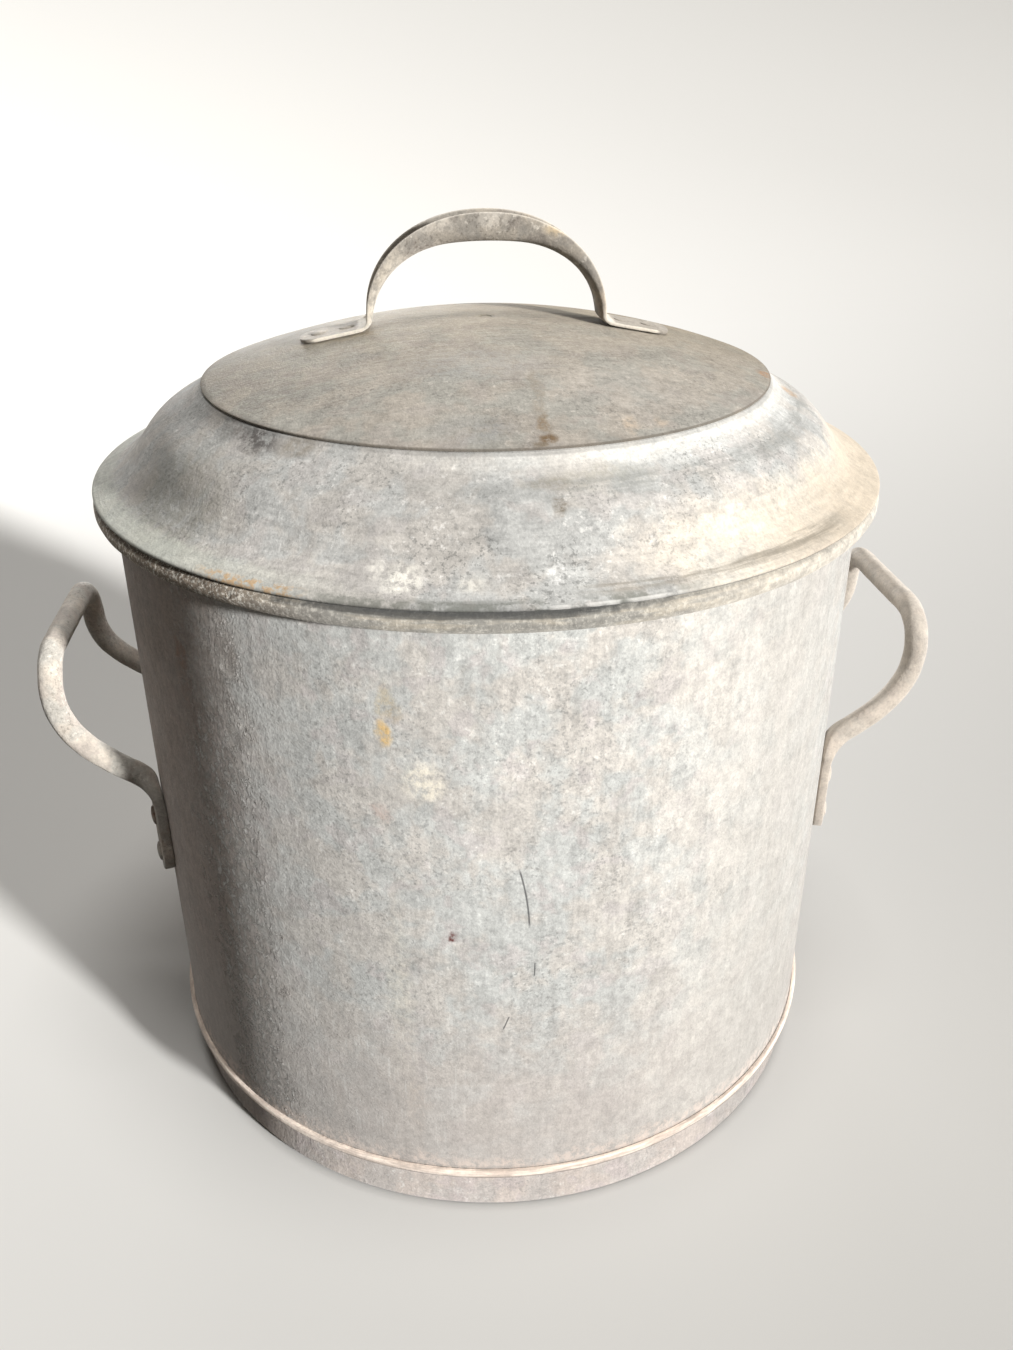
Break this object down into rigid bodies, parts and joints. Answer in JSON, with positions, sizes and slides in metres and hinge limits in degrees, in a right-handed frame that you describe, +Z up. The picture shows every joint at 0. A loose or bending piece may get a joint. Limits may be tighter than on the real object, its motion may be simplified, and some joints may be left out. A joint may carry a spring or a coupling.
{
  "type": "boiling-water canner",
  "caption": "Galvanised sheet-steel canning pot with riveted rod side handles, a loose domed lid with a strap handle, and a perforated jar rack inside.",
  "frame": {"origin": "centre of the pot's flat bottom, on the surface it stands on", "axes": "+Z up along the pot's axis, the two side handles on the X axis, -Y the side towards a person who holds them, the wall's lock seam at +Y"},
  "size_m": [0.3964, 0.3356, 0.3919],
  "materials": {
    "pot_sheet": "hot-dip galvanised sheet, weathered to a mottled pale grey",
    "lid_sheet": "hot-dip galvanised sheet, weathered, slightly darker",
    "lid_strap": "hot-dip galvanised strap, worn",
    "rod": "hot-dip galvanised steel rod",
    "rivet": "galvanised steel rivet",
    "wire": "galvanised steel wire",
    "rack_sheet": "galvanised sheet, dull"
  },
  "bodies": {
    "pot": {"pot_wall": "pot_sheet", "rim_wire": "wire", "base_pan": "pot_sheet", "left_handle": "rod", "right_handle": "rod", "left_handle_rivet_1": "rivet", "left_handle_rivet_2": "rivet", "left_handle_rivet_3": "rivet", "left_handle_rivet_4": "rivet", "right_handle_rivet_1": "rivet", "right_handle_rivet_2": "rivet", "right_handle_rivet_3": "rivet", "right_handle_rivet_4": "rivet"},
    "lid": {"lid_shoulder": "lid_sheet", "lid_disc": "lid_sheet", "lid_collar": "lid_sheet", "lid_handle": "lid_strap", "lid_handle_rivet_1": "rivet", "lid_handle_rivet_2": "rivet", "lid_handle_rivet_3": "rivet", "lid_handle_rivet_4": "rivet"},
    "rack": {"rack_plate": "rack_sheet", "rack_foot_1": "rack_sheet", "rack_foot_2": "rack_sheet", "rack_foot_3": "rack_sheet", "rack_loop_left": "wire", "rack_loop_right": "wire"}
  },
  "joints": [
    {"name": "lid_lift", "type": "slide", "parent": "pot", "child": "lid", "axis": [0, 0, 1], "range_m": [0, 0.3]},
    {"name": "rack_lift", "type": "slide", "parent": "pot", "child": "rack", "axis": [0, 0, 1], "range_m": [0, 0.19]}
  ]
}
